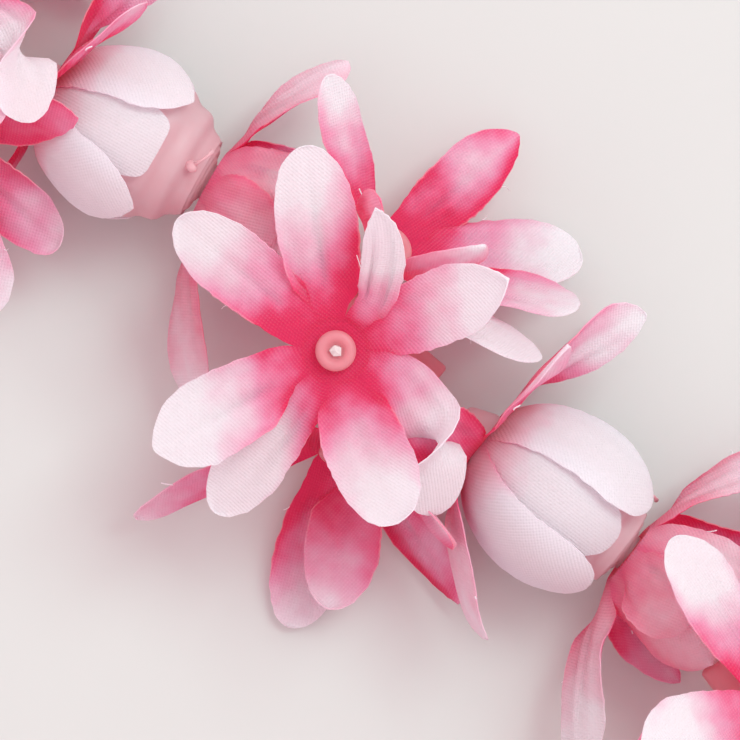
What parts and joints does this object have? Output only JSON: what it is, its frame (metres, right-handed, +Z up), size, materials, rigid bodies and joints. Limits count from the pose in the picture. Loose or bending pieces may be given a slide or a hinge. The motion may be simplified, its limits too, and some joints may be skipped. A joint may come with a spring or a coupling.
{
  "type": "flower lei",
  "caption": "Closed loop of cloth flowers on a cord: closed blossoms over moulded bells, open stars at their mouths, and sprays of open stars on moulded stems",
  "frame": {"origin": "Centre of the loop's bounding box, on the surface that it lies on", "axes": "+Z up, out of the surface; +X along the loop's long side; +Y along its short side"},
  "size_m": [0.4118, 0.2721, 0.0515],
  "materials": {
    "pale_cloth": "woven, white tips and pink roots",
    "deep_cloth": "woven, deep pink",
    "pink_cloth": "woven, pale tips and deep pink hearts",
    "clear_pink": "translucent moulded plastic",
    "cord": "braided cord"
  },
  "bodies": {
    "root": {"bell_0": "clear_pink", "blossom_petals_0": "pale_cloth", "mouth_star_0": "deep_cloth", "spray_0": "pink_cloth", "bell_1": "clear_pink", "blossom_petals_1": "pale_cloth", "mouth_star_1": "deep_cloth", "spray_1": "pink_cloth", "bell_2": "clear_pink", "blossom_petals_2": "pale_cloth", "mouth_star_2": "deep_cloth", "spray_2": "pink_cloth", "bell_3": "clear_pink", "blossom_petals_3": "pale_cloth", "mouth_star_3": "deep_cloth", "spray_3": "pink_cloth", "bell_4": "clear_pink", "blossom_petals_4": "pale_cloth", "mouth_star_4": "deep_cloth", "spray_4": "pink_cloth", "bell_5": "clear_pink", "blossom_petals_5": "pale_cloth", "mouth_star_5": "deep_cloth", "spray_5": "pink_cloth", "bell_6": "clear_pink", "blossom_petals_6": "pale_cloth", "mouth_star_6": "deep_cloth", "spray_6": "pink_cloth", "bell_7": "clear_pink", "blossom_petals_7": "pale_cloth", "mouth_star_7": "deep_cloth", "spray_7": "pink_cloth", "bell_8": "clear_pink", "blossom_petals_8": "pale_cloth", "mouth_star_8": "deep_cloth", "spray_8": "pink_cloth", "bell_9": "clear_pink", "blossom_petals_9": "pale_cloth", "mouth_star_9": "deep_cloth", "spray_9": "pink_cloth", "cord": "cord"}
  },
  "joints": []
}
